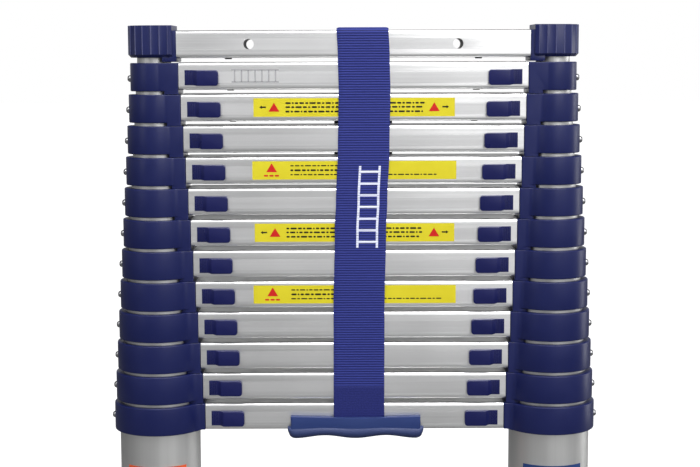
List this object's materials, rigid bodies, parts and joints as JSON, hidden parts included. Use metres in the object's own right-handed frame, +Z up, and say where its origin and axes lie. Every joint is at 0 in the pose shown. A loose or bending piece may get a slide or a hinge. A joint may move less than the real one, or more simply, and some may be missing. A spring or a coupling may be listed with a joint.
{
  "type": "telescoping ladder",
  "caption": "Telescoping ladder with hollow rungs between nested tubes, pin latches with sliding thumb buttons, plastic collars, rubber feet, a closing strap and a carry handle.",
  "frame": {"origin": "on the floor, midway between the two feet", "axes": "+Z up along the tubes, +X to the right along the rungs, the buttons and the strap's front face -Y"},
  "size_m": [0.4858, 0.09, 0.88],
  "materials": {
    "aluminium": "extruded and anodised, fine lines along the length",
    "collar_plastic": "moulded navy nylon, satin",
    "latch_plastic": "moulded navy nylon, satin",
    "plug_plastic": "moulded black plastic",
    "foot_rubber": "matte black rubber",
    "screw_steel": "plated steel",
    "handle_plastic": "moulded blue plastic with a fine texture",
    "webbing": "ribbed woven webbing",
    "patch_fabric": "soft looped fastening tape",
    "buckle_plastic": "moulded black plastic"
  },
  "bodies": {
    "section_13": {"bottom_rung": "aluminium", "outer_tubes": "aluminium", "bottom_collars": "collar_plastic", "rubber_feet": "foot_rubber", "foot_screws": "screw_steel", "carry_handle": "handle_plastic", "handle_screws": "screw_steel"},
    "section_12": {"rung_and_tubes_12": "aluminium", "collars_12": "collar_plastic"},
    "section_11": {"rung_and_tubes_11": "aluminium", "collars_11": "collar_plastic"},
    "section_10": {"rung_and_tubes_10": "aluminium", "collars_10": "collar_plastic"},
    "section_09": {"rung_and_tubes_09": "aluminium", "collars_09": "collar_plastic"},
    "section_08": {"rung_and_tubes_08": "aluminium", "collars_08": "collar_plastic"},
    "section_07": {"rung_and_tubes_07": "aluminium", "collars_07": "collar_plastic"},
    "section_06": {"rung_and_tubes_06": "aluminium", "collars_06": "collar_plastic"},
    "section_05": {"rung_and_tubes_05": "aluminium", "collars_05": "collar_plastic"},
    "section_04": {"rung_and_tubes_04": "aluminium", "collars_04": "collar_plastic"},
    "section_03": {"rung_and_tubes_03": "aluminium", "collars_03": "collar_plastic"},
    "section_02": {"rung_and_tubes_02": "aluminium", "collars_02": "collar_plastic"},
    "section_01": {"rung_01": "aluminium", "tubes_01": "aluminium", "top_caps": "collar_plastic", "tube_plugs_01": "plug_plastic", "strap_webbing": "webbing", "strap_patch": "patch_fabric", "strap_buckle": "buckle_plastic"},
    "latch_left_02": {"latch_left_02": "latch_plastic"},
    "latch_left_03": {"latch_left_03": "latch_plastic"},
    "latch_left_04": {"latch_left_04": "latch_plastic"},
    "latch_left_05": {"latch_left_05": "latch_plastic"},
    "latch_left_06": {"latch_left_06": "latch_plastic"},
    "latch_left_07": {"latch_left_07": "latch_plastic"},
    "latch_left_08": {"latch_left_08": "latch_plastic"},
    "latch_left_09": {"latch_left_09": "latch_plastic"},
    "latch_left_10": {"latch_left_10": "latch_plastic"},
    "latch_left_11": {"latch_left_11": "latch_plastic"},
    "latch_left_12": {"latch_left_12": "latch_plastic"},
    "latch_left_13": {"latch_left_13": "latch_plastic"},
    "latch_right_02": {"latch_right_02": "latch_plastic"},
    "latch_right_03": {"latch_right_03": "latch_plastic"},
    "latch_right_04": {"latch_right_04": "latch_plastic"},
    "latch_right_05": {"latch_right_05": "latch_plastic"},
    "latch_right_06": {"latch_right_06": "latch_plastic"},
    "latch_right_07": {"latch_right_07": "latch_plastic"},
    "latch_right_08": {"latch_right_08": "latch_plastic"},
    "latch_right_09": {"latch_right_09": "latch_plastic"},
    "latch_right_10": {"latch_right_10": "latch_plastic"},
    "latch_right_11": {"latch_right_11": "latch_plastic"},
    "latch_right_12": {"latch_right_12": "latch_plastic"},
    "latch_right_13": {"latch_right_13": "latch_plastic"}
  },
  "joints": [
    {"name": "section_12_slide", "type": "slide", "parent": "section_13", "child": "section_12", "axis": [0, 0, 1], "range_m": [0, 0.243]},
    {"name": "section_11_slide", "type": "slide", "parent": "section_12", "child": "section_11", "axis": [0, 0, 1], "range_m": [0, 0.243]},
    {"name": "section_10_slide", "type": "slide", "parent": "section_11", "child": "section_10", "axis": [0, 0, 1], "range_m": [0, 0.243]},
    {"name": "section_09_slide", "type": "slide", "parent": "section_10", "child": "section_09", "axis": [0, 0, 1], "range_m": [0, 0.243]},
    {"name": "section_08_slide", "type": "slide", "parent": "section_09", "child": "section_08", "axis": [0, 0, 1], "range_m": [0, 0.243]},
    {"name": "section_07_slide", "type": "slide", "parent": "section_08", "child": "section_07", "axis": [0, 0, 1], "range_m": [0, 0.243]},
    {"name": "section_06_slide", "type": "slide", "parent": "section_07", "child": "section_06", "axis": [0, 0, 1], "range_m": [0, 0.243]},
    {"name": "section_05_slide", "type": "slide", "parent": "section_06", "child": "section_05", "axis": [0, 0, 1], "range_m": [0, 0.243]},
    {"name": "section_04_slide", "type": "slide", "parent": "section_05", "child": "section_04", "axis": [0, 0, 1], "range_m": [0, 0.243]},
    {"name": "section_03_slide", "type": "slide", "parent": "section_04", "child": "section_03", "axis": [0, 0, 1], "range_m": [0, 0.243]},
    {"name": "section_02_slide", "type": "slide", "parent": "section_03", "child": "section_02", "axis": [0, 0, 1], "range_m": [0, 0.243]},
    {"name": "section_01_slide", "type": "slide", "parent": "section_02", "child": "section_01", "axis": [0, 0, 1], "range_m": [0, 0.243]},
    {"name": "latch_left_02_press", "type": "slide", "parent": "section_02", "child": "latch_left_02", "axis": [1, 0, 0], "range_m": [0, 0.003], "stiffness_N_per_m": 200, "springref_m": -0.005},
    {"name": "latch_left_03_press", "type": "slide", "parent": "section_03", "child": "latch_left_03", "axis": [1, 0, 0], "range_m": [0, 0.003], "stiffness_N_per_m": 200, "springref_m": -0.005},
    {"name": "latch_left_04_press", "type": "slide", "parent": "section_04", "child": "latch_left_04", "axis": [1, 0, 0], "range_m": [0, 0.003], "stiffness_N_per_m": 200, "springref_m": -0.005},
    {"name": "latch_left_05_press", "type": "slide", "parent": "section_05", "child": "latch_left_05", "axis": [1, 0, 0], "range_m": [0, 0.003], "stiffness_N_per_m": 200, "springref_m": -0.005},
    {"name": "latch_left_06_press", "type": "slide", "parent": "section_06", "child": "latch_left_06", "axis": [1, 0, 0], "range_m": [0, 0.003], "stiffness_N_per_m": 200, "springref_m": -0.005},
    {"name": "latch_left_07_press", "type": "slide", "parent": "section_07", "child": "latch_left_07", "axis": [1, 0, 0], "range_m": [0, 0.003], "stiffness_N_per_m": 200, "springref_m": -0.005},
    {"name": "latch_left_08_press", "type": "slide", "parent": "section_08", "child": "latch_left_08", "axis": [1, 0, 0], "range_m": [0, 0.003], "stiffness_N_per_m": 200, "springref_m": -0.005},
    {"name": "latch_left_09_press", "type": "slide", "parent": "section_09", "child": "latch_left_09", "axis": [1, 0, 0], "range_m": [0, 0.003], "stiffness_N_per_m": 200, "springref_m": -0.005},
    {"name": "latch_left_10_press", "type": "slide", "parent": "section_10", "child": "latch_left_10", "axis": [1, 0, 0], "range_m": [0, 0.003], "stiffness_N_per_m": 200, "springref_m": -0.005},
    {"name": "latch_left_11_press", "type": "slide", "parent": "section_11", "child": "latch_left_11", "axis": [1, 0, 0], "range_m": [0, 0.003], "stiffness_N_per_m": 200, "springref_m": -0.005},
    {"name": "latch_left_12_press", "type": "slide", "parent": "section_12", "child": "latch_left_12", "axis": [1, 0, 0], "range_m": [0, 0.003], "stiffness_N_per_m": 200, "springref_m": -0.005},
    {"name": "latch_left_13_press", "type": "slide", "parent": "section_13", "child": "latch_left_13", "axis": [1, 0, 0], "range_m": [0, 0.003], "stiffness_N_per_m": 200, "springref_m": -0.005},
    {"name": "latch_right_02_press", "type": "slide", "parent": "section_02", "child": "latch_right_02", "axis": [-1, 0, 0], "range_m": [0, 0.003], "stiffness_N_per_m": 200, "springref_m": -0.005},
    {"name": "latch_right_03_press", "type": "slide", "parent": "section_03", "child": "latch_right_03", "axis": [-1, 0, 0], "range_m": [0, 0.003], "stiffness_N_per_m": 200, "springref_m": -0.005},
    {"name": "latch_right_04_press", "type": "slide", "parent": "section_04", "child": "latch_right_04", "axis": [-1, 0, 0], "range_m": [0, 0.003], "stiffness_N_per_m": 200, "springref_m": -0.005},
    {"name": "latch_right_05_press", "type": "slide", "parent": "section_05", "child": "latch_right_05", "axis": [-1, 0, 0], "range_m": [0, 0.003], "stiffness_N_per_m": 200, "springref_m": -0.005},
    {"name": "latch_right_06_press", "type": "slide", "parent": "section_06", "child": "latch_right_06", "axis": [-1, 0, 0], "range_m": [0, 0.003], "stiffness_N_per_m": 200, "springref_m": -0.005},
    {"name": "latch_right_07_press", "type": "slide", "parent": "section_07", "child": "latch_right_07", "axis": [-1, 0, 0], "range_m": [0, 0.003], "stiffness_N_per_m": 200, "springref_m": -0.005},
    {"name": "latch_right_08_press", "type": "slide", "parent": "section_08", "child": "latch_right_08", "axis": [-1, 0, 0], "range_m": [0, 0.003], "stiffness_N_per_m": 200, "springref_m": -0.005},
    {"name": "latch_right_09_press", "type": "slide", "parent": "section_09", "child": "latch_right_09", "axis": [-1, 0, 0], "range_m": [0, 0.003], "stiffness_N_per_m": 200, "springref_m": -0.005},
    {"name": "latch_right_10_press", "type": "slide", "parent": "section_10", "child": "latch_right_10", "axis": [-1, 0, 0], "range_m": [0, 0.003], "stiffness_N_per_m": 200, "springref_m": -0.005},
    {"name": "latch_right_11_press", "type": "slide", "parent": "section_11", "child": "latch_right_11", "axis": [-1, 0, 0], "range_m": [0, 0.003], "stiffness_N_per_m": 200, "springref_m": -0.005},
    {"name": "latch_right_12_press", "type": "slide", "parent": "section_12", "child": "latch_right_12", "axis": [-1, 0, 0], "range_m": [0, 0.003], "stiffness_N_per_m": 200, "springref_m": -0.005},
    {"name": "latch_right_13_press", "type": "slide", "parent": "section_13", "child": "latch_right_13", "axis": [-1, 0, 0], "range_m": [0, 0.003], "stiffness_N_per_m": 200, "springref_m": -0.005}
  ]
}
